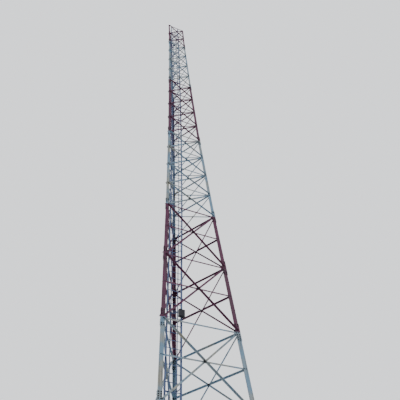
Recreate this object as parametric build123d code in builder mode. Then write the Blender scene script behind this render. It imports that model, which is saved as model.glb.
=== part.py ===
"""A self-supporting radio mast: three legs, three latticed sides, a caged ladder.

The mast stands 39 m high in seven bolted sections. Each leg is a steel angle
folded to 60 degrees, so that its two flanges lie in the two sides that meet
there. A panel of a side has a pair of crossed angle bars, one on each face of
the leg flanges, and a horizontal at its top. Below the waist the panels are 3 m
high, with a second horizontal through the crossing. Above it they are 1.5 m high.

Units are millimetres and +Z is up. The side with the ladder faces -Y. The
origin is the middle of the underside of the left leg's foot plate.
"""

import os
from math import atan, atan2, cos, degrees, pi, radians, sin, sqrt, tan
from typing import NamedTuple

from build123d import *


# Heights
SECTION_HEIGHTS = [6000, 6000, 6000, 6000, 6000, 6000, 3000]
TALL_PANEL = 3000
LOW_PANEL = 1500

# Widths of one side, from heel to heel of its two legs
BASE_WIDTH = 4300
WAIST_WIDTH = 2370
WAIST_SECTIONS = 3
UPPER_WIDTHS = [1860, 1520, 1260, 1210]

# Foot plates
FOOT_SIZE = 460
FOOT_THICK = 30
FOOT_HOLE_CIRCLE = 500
FOOT_HOLE = 36
FOOT_NODE = 300
RIB_HEIGHT = 220
RIB_THICK = 12

# Splices and plates
COVER_THICK = 10
COVER_REACH = 360
END_GAP = 12
JOINT_GAP = 4

# Ladder, behind the front side and beside the left leg
LADDER_WIDTH = 500
LADDER_OFFSET = 545
LADDER_INSET = 150
RAIL_DEPTH = 60
RAIL_FLANGE = 55
RAIL_THICK = 10
RUNG_PITCH = 300
RUNG_SIZE = 22
RAIL_LAP = 20
LUG_THICK = 8
LUG_WIDTH = 60

# Safety cage
CAGE_START = 3600
CAGE_PITCH = 3000
CAGE_DROP = 100
CAGE_STRAIGHT = 60
HOOP_DEPTH = 50
HOOP_THICK = 6
STRAP_WIDTH = 40
STRAP_THICK = 5
HOOP_FLATS = 9

# Junction box on the ladder
BOX_LEVEL = 12360
BOX_WIDTH = 220
BOX_HEIGHT = 280
BOX_DEPTH = 100


class Steel(NamedTuple):
    """The angle bars of one section: leg flange and thickness, brace flange and thickness."""

    leg: float
    leg_thick: float
    brace: float
    brace_thick: float


HEAVY = Steel(160, 15, 60, 6)
MEDIUM = Steel(140, 12, 50, 5)
LIGHT = Steel(110, 10, 45, 5)
STEEL_OF_SECTION = [HEAVY, HEAVY, HEAVY, MEDIUM, MEDIUM, LIGHT, LIGHT]

LEG_HEADINGS = {"left": 210, "right": 330, "back": 90}
SIDE_HEADINGS = {"front": 270, "right": 30, "left": 150}


class Section(NamedTuple):
    """One bolted length of the mast, with what follows from its two widths."""

    number: int
    bottom: float
    top: float
    low_width: float
    high_width: float
    steel: Steel

    @property
    def is_tall(self):
        """Whether the section is below the waist, where the panels are tall."""
        return self.number <= WAIST_SECTIONS

    @property
    def panels(self):
        """Number of crossed panels, one above another."""
        return round((self.top - self.bottom) / (TALL_PANEL if self.is_tall else LOW_PANEL))

    @property
    def lean(self):
        """Angle by which each side leans inwards, in radians."""
        return atan((self.low_width - self.high_width) / (2 * sqrt(3)) / (self.top - self.bottom))

    @property
    def slope_height(self):
        """Height of the section measured along its leaning side."""
        return (self.top - self.bottom) / cos(self.lean)

    def half_width(self, up):
        """Half the width of the side at a distance up its slope."""
        share = up / self.slope_height
        return (self.low_width + (self.high_width - self.low_width) * share) / 2


def make_sections():
    """Stack the sections from the ground up."""
    taper = (BASE_WIDTH - WAIST_WIDTH) / WAIST_SECTIONS
    widths = [BASE_WIDTH - taper * i for i in range(WAIST_SECTIONS + 1)] + UPPER_WIDTHS
    sections = []
    level = 0
    for i, height in enumerate(SECTION_HEIGHTS):
        top = level + height
        sections.append(Section(i + 1, level, top, widths[i], widths[i + 1], STEEL_OF_SECTION[i]))
        level = top
    return sections


SECTIONS = make_sections()

# Distance from the mast's axis to the middle of a foot plate, under the leg's own middle
FOOT_RADIUS = BASE_WIDTH / sqrt(3) - HEAVY.leg / 2 * cos(radians(30))
AXIS_X = FOOT_RADIUS * cos(radians(30))
AXIS_Y = FOOT_RADIUS * sin(radians(30))


# ---------------------------------------------------------------- legs


def angle_outline(heel, flange, thick):
    """Corners of a 60-degree angle that points along +X, with its heel at x = heel."""
    back = Vector(-cos(radians(30)), sin(radians(30)))
    inward = Vector(-sin(radians(30)), -cos(radians(30)))
    tip = Vector(heel, 0) + back * flange
    inner_tip = tip + inward * thick
    upper = [tip, inner_tip]
    lower = [Vector(p.X, -p.Y) for p in reversed(upper)]
    return [Vector(heel, 0), *upper, Vector(heel - 2 * thick, 0), *lower]


def leaning_angle(section, low, high, offset, flange, thick):
    """The 60-degree angle between two levels of a section, following its leg."""
    share = (section.high_width - section.low_width) / (section.top - section.bottom)
    with BuildPart() as angle:
        for level in (low, high):
            heel = (section.low_width + share * (level - section.bottom)) / sqrt(3) + offset
            with BuildSketch(Plane.XY.offset(level)):
                with BuildLine():
                    Polyline(*angle_outline(heel, flange, thick), close=True)
                make_face()
        loft(ruled=True)
    return angle.part


def make_leg(section):
    """One length of leg that points along +X from the mast's axis, with its splice covers."""
    steel = section.steel
    at_ground = section.bottom == 0
    at_top = section.number == len(SECTIONS)
    start = FOOT_THICK if at_ground else section.bottom
    cover = (2 * COVER_THICK, steel.leg, COVER_THICK)
    with BuildPart() as leg:
        add(leaning_angle(section, start, section.top, 0, steel.leg, steel.leg_thick))
        if not at_ground:
            add(leaning_angle(section, start, start + COVER_REACH, *cover))
        if not at_top:
            add(leaning_angle(section, section.top - COVER_REACH, section.top, *cover))
        if at_ground:
            add(make_foot())
    return leg.part


def make_foot():
    """A foot plate with four anchor holes and two ribs that stiffen the leg."""
    with BuildPart() as foot:
        with Locations((FOOT_RADIUS, 0, 0)):
            Box(FOOT_SIZE, FOOT_SIZE, FOOT_THICK, align=(Align.CENTER, Align.CENTER, Align.MIN))
        with BuildSketch(Plane.XY) as holes:
            with Locations((FOOT_RADIUS, 0)):
                with PolarLocations(FOOT_HOLE_CIRCLE / 2, 4, start_angle=45):
                    Circle(FOOT_HOLE / 2)
        extrude(amount=FOOT_THICK, mode=Mode.SUBTRACT)
        with BuildSketch(Plane.XZ.offset(-RIB_THICK / 2)):
            heel = BASE_WIDTH / sqrt(3)
            outer = FOOT_RADIUS + FOOT_SIZE / 2
            lean = (BASE_WIDTH - SECTIONS[0].high_width) / sqrt(3) / SECTIONS[0].top
            with BuildLine():
                Polyline(
                    (heel - lean * FOOT_THICK - HEAVY.leg_thick, FOOT_THICK),
                    (outer, FOOT_THICK),
                    (outer, FOOT_THICK + RIB_THICK),
                    (heel - lean * RIB_HEIGHT, RIB_HEIGHT),
                    (heel - lean * RIB_HEIGHT - HEAVY.leg_thick, RIB_HEIGHT),
                    close=True,
                )
            make_face()
        extrude(amount=RIB_THICK)
    return foot.part


# ---------------------------------------------------------------- latticed sides


def side_plane(section, heading):
    """The leaning plane of a side: +X to the right seen from outside, +Z outwards."""
    turn = radians(heading)
    reach = section.low_width / (2 * sqrt(3))
    outwards = (cos(turn) * cos(section.lean), sin(turn) * cos(section.lean), sin(section.lean))
    return Plane(
        origin=(reach * cos(turn), reach * sin(turn), section.bottom),
        x_dir=(-sin(turn), cos(turn), 0),
        z_dir=outwards,
    )


class Panel:
    """The set-out of one crossed panel in the plane of its side."""

    def __init__(self, section, index):
        self.steel = section.steel
        rise = section.slope_height / section.panels
        on_ground = section.bottom == 0 and index == 0
        self.low = FOOT_NODE if on_ground else index * rise
        self.joint_gap = JOINT_GAP if index == 0 else 0
        self.has_mid_bar = section.is_tall
        self.high = (index + 1) * rise
        self.low_half = section.half_width(self.low)
        self.high_half = section.half_width(self.high)
        self.taper = (self.low_half - self.high_half) / (self.high - self.low)
        # Layers: back of the leg flanges, back of what lies on them, outside of the covers
        self.face = -self.steel.leg_thick * cos(section.lean)
        self.back = self.face - self.steel.brace_thick
        self.front = COVER_THICK * cos(section.lean)
        # The bars' lines meet on the middle of the leg flanges
        self.grip = self.steel.leg / 2
        self.half_bar = self.steel.brace / 2
        low_in = self.low_half - self.grip
        high_in = self.high_half - self.grip
        self.low_point = (low_in, self.low + self.half_bar)
        self.high_point = (high_in, self.high - self.half_bar)
        climb = self.high_point[1] - self.low_point[1]
        self.steep = atan2(climb, low_in + high_in)
        self.cross = self.low_point[1] + climb * low_in / (low_in + high_in)
        # The flat flanges and gussets reach further into the 60-degree corner than what stands
        self.nook = self.clear_of_corner(0)
        self.cope = self.clear_of_corner(self.steel.brace - self.steel.brace_thick) - self.nook
        self.inner_trim = (self.clear_of_corner(self.steel.brace) - self.grip) / cos(self.steep)

    def clear_of_corner(self, depth):
        """Least distance from the heel of what stands this deep behind the gussets."""
        return (self.steel.leg_thick + self.steel.brace_thick + depth) * sqrt(3) + END_GAP

    def half_width(self, level):
        """Half the width of the side at a level in its plane."""
        return self.low_half - self.taper * (level - self.low)

    def along(self, point, hand, way, distance):
        """A point moved along a crossing bar, towards the middle of the panel."""
        return (
            hand * (point[0] - distance * cos(self.steep)),
            point[1] + way * distance * sin(self.steep),
        )


def bar(start, end, face, stand, edge, steel, cope=0, notch=0):
    """An angle bar laid in the plane of a side, from start to end.

    Its flat flange lies against height face, outside it where stand is 1 and
    inside it where stand is -1. The other flange stands up from the left edge
    of the flat one where edge is 1 and from the right edge where it is -1. It
    is cut back by the cope at both ends, and by the notch each side of the middle.
    """
    run = Vector(end[0] - start[0], end[1] - start[1])
    middle = ((start[0] + end[0]) / 2, (start[1] + end[1]) / 2, face)
    lie = (Align.CENTER, Align.CENTER, Align.MIN if stand > 0 else Align.MAX)
    tip = run.length / 2 - cope
    spans = [(-tip, -notch), (notch, tip)] if notch else [(-tip, tip)]
    with Locations(Location(middle, (0, 0, degrees(atan2(run.Y, run.X))))):
        Box(run.length, steel.brace, steel.brace_thick, align=lie)
        for low, high in spans:
            with Locations(((low + high) / 2, edge * (steel.brace - steel.brace_thick) / 2, 0)):
                Box(high - low, steel.brace_thick, steel.brace, align=lie)


def crossed_bars(panel):
    """The two long bars: one behind the gussets, one outside the leg flanges."""
    start = panel.along(panel.low_point, -1, 1, panel.inner_trim)
    end = panel.along(panel.high_point, 1, -1, panel.inner_trim)
    bar(start, end, panel.back, -1, -1, panel.steel)
    start = (-panel.high_point[0], panel.high_point[1])
    bar(start, panel.low_point, panel.front, 1, 1, panel.steel)


def top_horizontal(panel):
    """The bar at the top of the panel, behind the leg flanges."""
    level = panel.high - panel.half_bar
    reach = panel.high_half - panel.nook
    bar((-reach, level), (reach, level), panel.face, -1, 1, panel.steel, panel.cope)


def mid_horizontal(panel):
    """The bar that passes between the long bars where they cross."""
    level = panel.cross
    reach = panel.half_width(level) - panel.nook
    notch = panel.half_bar / sin(panel.steep) + panel.half_bar / tan(panel.steep) + END_GAP
    bar((-reach, level), (reach, level), panel.face, -1, 1, panel.steel, panel.cope, notch)


def crossing_pack(panel):
    """The square pack that fills the space between the long bars where they cross."""
    size = panel.steel.brace
    inside = panel.face if panel.has_mid_bar else panel.back
    with Locations((0, panel.cross, inside)):
        Box(size, size, panel.front - inside, align=(Align.CENTER, Align.CENTER, Align.MIN))


def corner_gusset(panel, hand, level, half, way):
    """The plate behind a leg flange that takes one end of the inner long bar."""
    size = panel.steel.brace
    reach = panel.inner_trim + 1.5 * size
    tall = panel.half_bar + reach * sin(panel.steep)
    near = half - panel.nook
    far = half - panel.grip - panel.inner_trim * cos(panel.steep) - 1.5 * size
    upper_near = near - panel.taper * way * tall
    upper_far = half - panel.grip - reach * cos(panel.steep)
    with BuildSketch(Plane.XY.offset(panel.back)) as outline:
        with BuildLine():
            Polyline(
                (hand * near, level),
                (hand * far, level),
                (hand * upper_far, level + way * tall),
                (hand * upper_near, level + way * tall),
                close=True,
            )
        make_face()
    extrude(outline.sketch, amount=panel.steel.brace_thick)


def make_side(section):
    """One section of latticed side, laid out in its own plane with +Z outwards."""
    with BuildPart() as side:
        for index in range(section.panels):
            panel = Panel(section, index)
            crossed_bars(panel)
            top_horizontal(panel)
            if panel.has_mid_bar:
                mid_horizontal(panel)
            crossing_pack(panel)
            corner_gusset(panel, -1, panel.low + panel.joint_gap, panel.low_half, 1)
            corner_gusset(panel, 1, panel.high, panel.high_half, -1)
    return side.part


# ---------------------------------------------------------------- ladder and cage


def ladder_plane(section):
    """The plane of the ladder: +X across it, +Y up its rails, +Z outwards."""
    front = side_plane(section, SIDE_HEADINGS["front"])
    foot = (LADDER_OFFSET - section.low_width / 2, 0, -LADDER_INSET)
    head = (LADDER_OFFSET - section.high_width / 2, section.slope_height, -LADDER_INSET)
    origin = front.from_local_coords(foot)
    up = front.from_local_coords(head) - origin
    return Plane(origin=origin, x_dir=up.cross(front.z_dir), z_dir=front.z_dir), up.length


def ladder_section(section):
    """Two angle rails with their rungs, beside one section of the front side."""
    plane, length = ladder_plane(section)
    count = round((section.top - section.bottom) / RUNG_PITCH)
    pitch = length / count
    inner = LADDER_WIDTH / 2 - RAIL_THICK
    outer = inner + RAIL_FLANGE
    across = Plane(origin=plane.origin, x_dir=plane.x_dir, z_dir=plane.y_dir)
    with BuildPart(plane) as ladder:
        with BuildSketch(across.offset(-RAIL_LAP)):
            with BuildLine():
                Polyline(
                    (inner, -RAIL_DEPTH / 2),
                    (outer, -RAIL_DEPTH / 2),
                    (outer, RAIL_THICK - RAIL_DEPTH / 2),
                    (inner + RAIL_THICK, RAIL_THICK - RAIL_DEPTH / 2),
                    (inner + RAIL_THICK, RAIL_DEPTH / 2),
                    (inner, RAIL_DEPTH / 2),
                    close=True,
                )
            make_face()
            mirror(about=Plane.YZ)
        extrude(amount=length + RAIL_LAP)
        with Locations(*[(0, (i + 0.5) * pitch, 0) for i in range(count)]):
            Box(LADDER_WIDTH - 2 * RAIL_THICK, RUNG_SIZE, RUNG_SIZE, rotation=(45, 0, 0))
    return ladder.part


def ladder_lugs(section):
    """Flat lugs from the horizontals to the two rails, as far apart as a tall panel is high."""
    deep = -LADDER_INSET
    middle = (Align.CENTER, Align.MAX, Align.MIN)
    step = 1 if section.is_tall else TALL_PANEL // LOW_PANEL
    with BuildPart(side_plane(section, SIDE_HEADINGS["front"])) as lugs:
        for index in range(step - 1, section.panels, step):
            panel = Panel(section, index)
            shallow = panel.back - panel.steel.brace_thick
            for hand in (-1, 1):
                across = LADDER_OFFSET - panel.high_half + hand * (LADDER_WIDTH - RAIL_THICK) / 2
                with Locations((across, panel.high - panel.steel.brace_thick, deep)):
                    Box(LUG_WIDTH, LUG_THICK, shallow - deep, align=middle)
    return lugs.part


def trim_ends(sections):
    """Cut a length of ladder or cage level, just short of what is above and below it."""
    room = 2 * BASE_WIDTH
    start = sections[0].bottom or FOOT_THICK
    for level, lie in (
        (start + JOINT_GAP / 2, Align.MAX),
        (sections[-1].top - JOINT_GAP / 2, Align.MIN),
    ):
        with Locations((0, 0, level)):
            Box(room, room, TALL_PANEL, align=(Align.CENTER, Align.CENTER, lie), mode=Mode.SUBTRACT)


def make_ladder(sections):
    """The ladder along several sections."""
    with BuildPart() as ladder:
        for section in sections:
            add(ladder_section(section))
        trim_ends(sections)
        for section in sections:
            add(ladder_lugs(section))
    return ladder.part


def hoop_levels(section):
    """Levels of the hoops in a section; the last hoop is just below the top of the mast."""
    end = SECTIONS[-1].top - CAGE_DROP
    count = int((end - CAGE_START) / CAGE_PITCH) + 1
    levels = [CAGE_START + i * CAGE_PITCH for i in range(count)] + [end]
    return [level for level in levels if section.bottom <= level <= section.top - HOOP_DEPTH]


def hoop_point(radius, corner):
    """A corner of the half-round hoop; the corners are numbered from left to right."""
    turn = pi * corner / HOOP_FLATS
    return (-radius * cos(turn), RAIL_DEPTH / 2 + CAGE_STRAIGHT + radius * sin(turn))


def hoop_outline(third):
    """One third of a hoop that is half-round in flats; the outer thirds run on to the rails."""
    corners = range(third * HOOP_FLATS // 3, (third + 1) * HOOP_FLATS // 3 + 1)
    radius = LADDER_WIDTH / 2
    inner = [hoop_point(radius, c) for c in corners]
    outer = [hoop_point(radius + HOOP_THICK, c) for c in corners]
    end = RAIL_DEPTH / 2 - HOOP_DEPTH
    if third == 0:
        inner.insert(0, (-radius, end))
        outer.insert(0, (-radius - HOOP_THICK, end))
    if third == 2:
        inner.append((radius, end))
        outer.append((radius + HOOP_THICK, end))
    return [*inner, *reversed(outer)]


def cage_section(section, third):
    """One third of the hoops, with the upright strap inside them, beside one section."""
    plane, length = ladder_plane(section)
    stretch = length / (section.top - section.bottom)
    across = Plane(origin=plane.origin, x_dir=plane.x_dir, z_dir=plane.y_dir)
    low = max((CAGE_START - section.bottom) * stretch, -RAIL_LAP)
    middle = (third + 0.5) * HOOP_FLATS / 3
    reach = LADDER_WIDTH / 2 * cos(pi / HOOP_FLATS / 2) - STRAP_THICK / 2
    turn = 90 - 180 * middle / HOOP_FLATS
    with BuildPart() as cage:
        for level in hoop_levels(section):
            with BuildSketch(across.offset((level - section.bottom) * stretch)):
                with BuildLine():
                    Polyline(*hoop_outline(third), close=True)
                make_face()
            extrude(amount=HOOP_DEPTH)
        with BuildSketch(across.offset(low)):
            with Locations(Location((*hoop_point(reach, middle), 0), (0, 0, turn))):
                Rectangle(STRAP_WIDTH, STRAP_THICK)
        extrude(amount=length - low)
    return cage.part


def make_cage(sections, third):
    """One third of the cage along several sections."""
    with BuildPart() as cage:
        for section in sections:
            add(cage_section(section, third))
        trim_ends(sections)
    return cage.part


def make_box():
    """The junction box, fixed to the right rail of the ladder on the outer side."""
    section = next(s for s in SECTIONS if s.bottom <= BOX_LEVEL < s.top)
    plane, length = ladder_plane(section)
    up = (BOX_LEVEL - section.bottom) * length / (section.top - section.bottom)
    with BuildPart(plane) as box:
        with Locations(((LADDER_WIDTH - RAIL_THICK) / 2, up, RAIL_DEPTH / 2)):
            Box(BOX_WIDTH, BOX_HEIGHT, BOX_DEPTH, align=(Align.CENTER, Align.CENTER, Align.MIN))
    return box.part


LADDER_LENGTHS = {"lower": SECTIONS[:3], "middle": SECTIONS[3:5], "upper": SECTIONS[5:]}


def place(name, stock, location):
    """Copy a piece to its place about the mast's axis and write it."""
    with BuildPart() as piece:
        with Locations(Location((AXIS_X, AXIS_Y, 0)) * location):
            add(stock)
    piece.part.label = name
    export_step(piece.part, f"parts/{name}.step")


if __name__ == "__main__":
    os.makedirs("parts", exist_ok=True)
    for section in SECTIONS:
        leg = make_leg(section)
        for name, heading in LEG_HEADINGS.items():
            place(f"leg_{name}_{section.number}", leg, Location((0, 0, 0), (0, 0, heading)))
        side = make_side(section)
        for name, heading in SIDE_HEADINGS.items():
            place(f"side_{name}_{section.number}", side, side_plane(section, heading).location)
    for name, sections in LADDER_LENGTHS.items():
        place(f"ladder_{name}", make_ladder(sections), Location())
        for third, hand in enumerate(("left", "back", "right")):
            place(f"cage_{hand}_{name}", make_cage(sections, third), Location())
    place("junction_box", make_box(), Location())
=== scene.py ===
"""Looks of a three-legged lattice radio mast: paint, joint covers, bolts, fittings and stage."""

import math

import bpy
import numpy as np
from mathutils import Matrix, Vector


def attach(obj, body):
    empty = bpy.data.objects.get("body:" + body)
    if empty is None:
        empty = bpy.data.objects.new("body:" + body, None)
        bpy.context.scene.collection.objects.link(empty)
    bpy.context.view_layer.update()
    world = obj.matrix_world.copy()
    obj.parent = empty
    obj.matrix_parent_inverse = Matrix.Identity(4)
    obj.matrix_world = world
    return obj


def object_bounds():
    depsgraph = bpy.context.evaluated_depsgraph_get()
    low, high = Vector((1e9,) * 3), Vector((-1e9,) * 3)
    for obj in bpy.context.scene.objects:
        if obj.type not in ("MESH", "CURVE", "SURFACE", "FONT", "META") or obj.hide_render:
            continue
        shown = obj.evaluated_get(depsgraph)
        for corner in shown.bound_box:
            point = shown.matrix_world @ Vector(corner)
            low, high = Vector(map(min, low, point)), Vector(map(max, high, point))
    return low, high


bl_info = {
    "name": "Radio Mast Finish",
    "version": (1, 0, 0),
    "blender": (4, 5, 0),
    "location": "View3D > Sidebar > Mast",
    "description": "Paints a lattice radio mast and adds its bolts, fittings and stage",
    "category": "Object",
}

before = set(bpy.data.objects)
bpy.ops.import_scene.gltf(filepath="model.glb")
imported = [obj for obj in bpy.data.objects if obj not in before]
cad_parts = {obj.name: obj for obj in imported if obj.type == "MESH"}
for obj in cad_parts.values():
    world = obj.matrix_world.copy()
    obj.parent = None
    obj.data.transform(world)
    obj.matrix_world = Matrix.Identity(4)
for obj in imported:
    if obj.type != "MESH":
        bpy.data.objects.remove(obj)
CAD_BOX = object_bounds()


# ---------------------------------------------------------------- what a user may change


def length(name, description, default):
    """A size in metres with its unit."""
    return bpy.props.FloatProperty(
        name=name, description=description, default=default, min=0.0, unit="LENGTH"
    )


def colour(name, description, default):
    """A linear colour."""
    return bpy.props.FloatVectorProperty(
        name=name, description=description, default=default, size=3, min=0, max=1, subtype="COLOR"
    )


class MastSizes(bpy.types.PropertyGroup):
    """Set-out of the steelwork, as the solids have it."""

    base_width: length("Base width", "Heel to heel at the ground", 4.3)
    waist_width: length("Waist width", "Heel to heel where the taper eases", 2.37)
    cover_thick: length("Cover thickness", "Splice cover on a leg flange", 0.010)
    cover_reach: length("Cover reach", "Cover above and below the middle of its joint", 0.36)
    ladder_width: length("Ladder width", "Over the two rails", 0.5)
    ladder_offset: length("Ladder offset", "Left heel to the ladder's centre", 0.545)
    ladder_inset: length("Ladder inset", "Front side to the ladder's centre plane", 0.15)
    lug_width: length("Lug width", "Width of a lug that holds the ladder", 0.06)
    lug_thick: length("Lug thickness", "Thickness of a lug that holds the ladder", 0.008)
    rail_depth: length("Rail depth", "Depth of a ladder rail", 0.06)
    rail_thick: length("Rail thickness", "Thickness of a ladder rail", 0.010)
    hoop_start: length("First hoop", "Level of the lowest hoop", 3.6)
    hoop_pitch: length("Hoop pitch", "From hoop to hoop", 3.0)
    hoop_drop: length("Last hoop", "Last hoop below the top of the mast", 0.1)
    hoop_depth: length("Hoop depth", "Height of a hoop's flat bar", 0.05)
    hoop_thick: length("Hoop thickness", "Thickness of a hoop's flat bar", 0.006)
    hoop_straight: length("Hoop straight", "Rail to the start of the half round", 0.06)
    strap_thick: length("Strap thickness", "Thickness of a cage strap", 0.005)
    strap_width: length("Strap width", "Width of a cage strap", 0.040)
    joint_plate: length("Joint plate", "Length of the plates that join two lengths of rail", 0.18)
    box_level: length("Box level", "Middle of the junction box above the ground", 12.36)
    box_width: length("Box width", "Width of the junction box", 0.22)
    box_height: length("Box height", "Height of the junction box", 0.28)
    box_depth: length("Box depth", "Depth of the junction box", 0.10)
    foot_circle: length("Anchor circle", "Pitch circle of a foot's anchor bolts", 0.5)
    foot_thick: length("Foot plate", "Thickness of a foot plate", 0.03)


class BoltSizes(bpy.types.PropertyGroup):
    """Sizes of the fasteners."""

    leg_bolt: length("Leg bolt", "Thread of the bolts in the leg splices", 0.024)
    bar_bolt: length("Bar bolt", "Thread of the bolts in bars and gussets", 0.020)
    small_bolt: length("Small bolt", "Thread of the bolts in the ladder and cage", 0.012)
    anchor_bolt: length("Anchor bolt", "Thread of the anchor bolts", 0.030)
    anchor_height: length("Anchor height", "Anchor bolt above its foot plate", 0.10)


class MastColours(bpy.types.PropertyGroup):
    """Colours of paint, steel and stage."""

    red: colour("Red paint", "Weathered warning red", (0.054, 0.011, 0.035))
    red_faded: colour("Faded red", "Red where the sun has chalked it", (0.080, 0.021, 0.050))
    # Warning white tinted blue: white paint with a painted sky shade in its colour
    white_with_painted_shade: colour("White paint", "Weathered warning white", (0.100, 0.168, 0.235))
    # A beige painted highlight, where warm light falls on the white
    white_painted_highlight: colour("Dull white", "White where it has yellowed", (0.200, 0.198, 0.168))
    dark_steel: colour("Ladder steel", "Coated steel of ladder and cage", (0.024, 0.046, 0.115))
    dark_worn: colour("Worn ladder steel", "Where feet and hands rub", (0.075, 0.115, 0.200))
    box: colour("Box paint", "Junction box", (0.006, 0.007, 0.011))
    box_worn: colour("Worn box paint", "Junction box where it has faded", (0.015, 0.018, 0.026))
    zinc: colour("Zinc", "Galvanised anchor bolts", (0.300, 0.310, 0.330))
    bolt: colour("Bolt steel", "Bolts that have gone dark", (0.030, 0.033, 0.040))
    rust: colour("Rust", "Rust at chips and joints", (0.075, 0.024, 0.012))
    grime: colour("Grime", "Rain-washed dirt", (0.045, 0.042, 0.042))
    floor: colour("Floor", "Studio floor", (0.780, 0.780, 0.770))
    sky: colour("Surround", "Studio surround", (0.900, 0.920, 0.950))


# ---------------------------------------------------------------- materials


# Sockets of a Mix node that carry colours; its other sockets share their names
MIX_COLOURS = (6, 7)
MIX_RESULT = 2


class Recipe:
    """A short way to wire up a node material on Object coordinates."""

    def __init__(self, name):
        self.material = bpy.data.materials.new(name)
        self.material.use_nodes = True
        self.tree = self.material.node_tree
        self.shader = self.tree.nodes["Principled BSDF"]
        self.where = self.tree.nodes.new("ShaderNodeTexCoord").outputs["Object"]

    def join(self, value, socket):
        """Link an output to a socket, or set a constant on it."""
        if isinstance(value, bpy.types.NodeSocket):
            self.tree.links.new(value, socket)
        else:
            socket.default_value = value

    def feed(self, name, value):
        """Feed one of the shader's sockets."""
        self.join(value, self.shader.inputs[name])

    def noise(self, scale, detail=4.0, roughness=0.55, stretch=(1, 1, 1)):
        """Noise of that scale, stretched along the axes."""
        mapping = self.tree.nodes.new("ShaderNodeMapping")
        mapping.inputs["Scale"].default_value = stretch
        self.join(self.where, mapping.inputs["Vector"])
        node = self.tree.nodes.new("ShaderNodeTexNoise")
        node.inputs["Scale"].default_value = scale
        node.inputs["Detail"].default_value = detail
        node.inputs["Roughness"].default_value = roughness
        self.join(mapping.outputs["Vector"], node.inputs["Vector"])
        return node.outputs["Fac"]

    def remap(self, value, low=0.0, high=1.0, to_low=0.0, to_high=1.0):
        """Stretch a value from low..high to another range, held at its ends."""
        node = self.tree.nodes.new("ShaderNodeMapRange")
        node.inputs["From Min"].default_value = low
        node.inputs["From Max"].default_value = high
        node.inputs["To Min"].default_value = to_low
        node.inputs["To Max"].default_value = to_high
        self.join(value, node.inputs["Value"])
        return node.outputs["Result"]

    def reckon(self, operation, first, second):
        """One step of arithmetic."""
        node = self.tree.nodes.new("ShaderNodeMath")
        node.operation = operation
        self.join(first, node.inputs[0])
        self.join(second, node.inputs[1])
        return node.outputs["Value"]

    def mix(self, share, first, second):
        """Mix two colours."""
        node = self.tree.nodes.new("ShaderNodeMix")
        node.data_type = "RGBA"
        self.join(share, node.inputs["Factor"])
        for value, index in zip((first, second), MIX_COLOURS):
            linked = isinstance(value, bpy.types.NodeSocket)
            self.join(value if linked else (*value, 1.0), node.inputs[index])
        return node.outputs[MIX_RESULT]

    def bump(self, height, strength, distance):
        """A bump from a height."""
        node = self.tree.nodes.new("ShaderNodeBump")
        node.inputs["Strength"].default_value = strength
        node.inputs["Distance"].default_value = distance
        self.join(height, node.inputs["Height"])
        self.feed("Normal", node.outputs["Normal"])


def weathered_paint(name, fresh_paint_and_shade, faded_paint_and_highlight, rust, grime, chip_share, roughness):
    """Brushed paint on steel: patches of two tones, rain streaks, small rusty chips and orange
    peel.

    Patches are slow noise between the two tones: fresh and faded paint on the red and the
    box, a blue painted shade and a beige painted highlight on the white. Streaks are noise
    drawn out along the height; chips are where a fine noise passes a threshold, which slow
    noise makes lower in places.
    """
    r = Recipe(name)
    patch = r.remap(r.noise(1.1, detail=6.0, roughness=0.65), low=0.44, high=0.66)
    runs = r.noise(16.0, roughness=0.65, stretch=(1, 1, 0.05))
    streak = r.remap(runs, low=0.48, high=0.70, to_high=0.6)
    slow = r.remap(r.noise(1.7, detail=3.0), low=0.3, high=0.75, to_low=-0.10, to_high=0.06)
    speck = r.reckon("ADD", r.noise(26.0, detail=6.0, roughness=0.7), slow)
    chip = r.remap(speck, low=0.70 - chip_share, high=0.74 - chip_share)
    # On the white, the patches mix a blue painted shade with a beige painted highlight
    tint = r.mix(streak, r.mix(patch, fresh_paint_and_shade, faded_paint_and_highlight), grime)
    r.feed("Base Color", r.mix(chip, tint, rust))
    least, most = roughness - 0.10, roughness + 0.10
    rough = r.remap(r.noise(7.0), low=0.3, high=0.7, to_low=least, to_high=most)
    r.feed("Roughness", r.reckon("MAXIMUM", rough, r.remap(chip, to_high=0.85)))
    peel = r.reckon("ADD", r.noise(160.0, detail=2.0), r.remap(chip, to_high=-0.8))
    r.bump(peel, strength=0.30, distance=0.002)
    # Chalked paint has little gloss left
    r.feed("Specular IOR Level", 0.2)
    return r.material


def rubbed_steel(name, coat, worn, rust):
    """Dark coated steel: worn patches, a grain across the height, and a little rust.

    Wear is slow noise and rust is fine noise, each past a threshold; the grain is
    noise pressed together along the height.
    """
    r = Recipe(name)
    wear = r.remap(r.noise(3.0, detail=6.0, roughness=0.65), low=0.52, high=0.72)
    spot = r.remap(r.noise(34.0, detail=5.0, roughness=0.7), low=0.66, high=0.72)
    r.feed("Base Color", r.mix(spot, r.mix(wear, coat, worn), rust))
    r.feed("Roughness", r.remap(wear, to_low=0.58, to_high=0.40))
    r.feed("Metallic", r.remap(wear, to_low=0.15, to_high=0.60))
    grain = r.noise(90.0, detail=3.0, roughness=0.6, stretch=(1, 1, 4))
    r.bump(grain, strength=0.20, distance=0.001)
    return r.material


def spangled_zinc(name, zinc, rust):
    """Galvanised or darkened steel: small crystal spangle and rust at a few spots.

    The spangle is the distance in a cell pattern; rust is noise past a threshold.
    """
    r = Recipe(name)
    spangle = r.tree.nodes.new("ShaderNodeTexVoronoi")
    spangle.inputs["Scale"].default_value = 120.0
    r.join(r.where, spangle.inputs["Vector"])
    dull = tuple(c * 0.62 for c in zinc)
    tint = r.mix(r.remap(spangle.outputs["Distance"], high=0.6), zinc, dull)
    spot = r.remap(r.noise(21.0, detail=5.0, roughness=0.7), low=0.58, high=0.68)
    r.feed("Base Color", r.mix(spot, tint, rust))
    r.feed("Metallic", r.remap(spot, to_low=0.85, to_high=0.05))
    r.feed("Roughness", r.remap(spot, to_low=0.42, to_high=0.85))
    r.bump(r.noise(220.0, detail=2.0), strength=0.15, distance=0.001)
    return r.material


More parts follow.
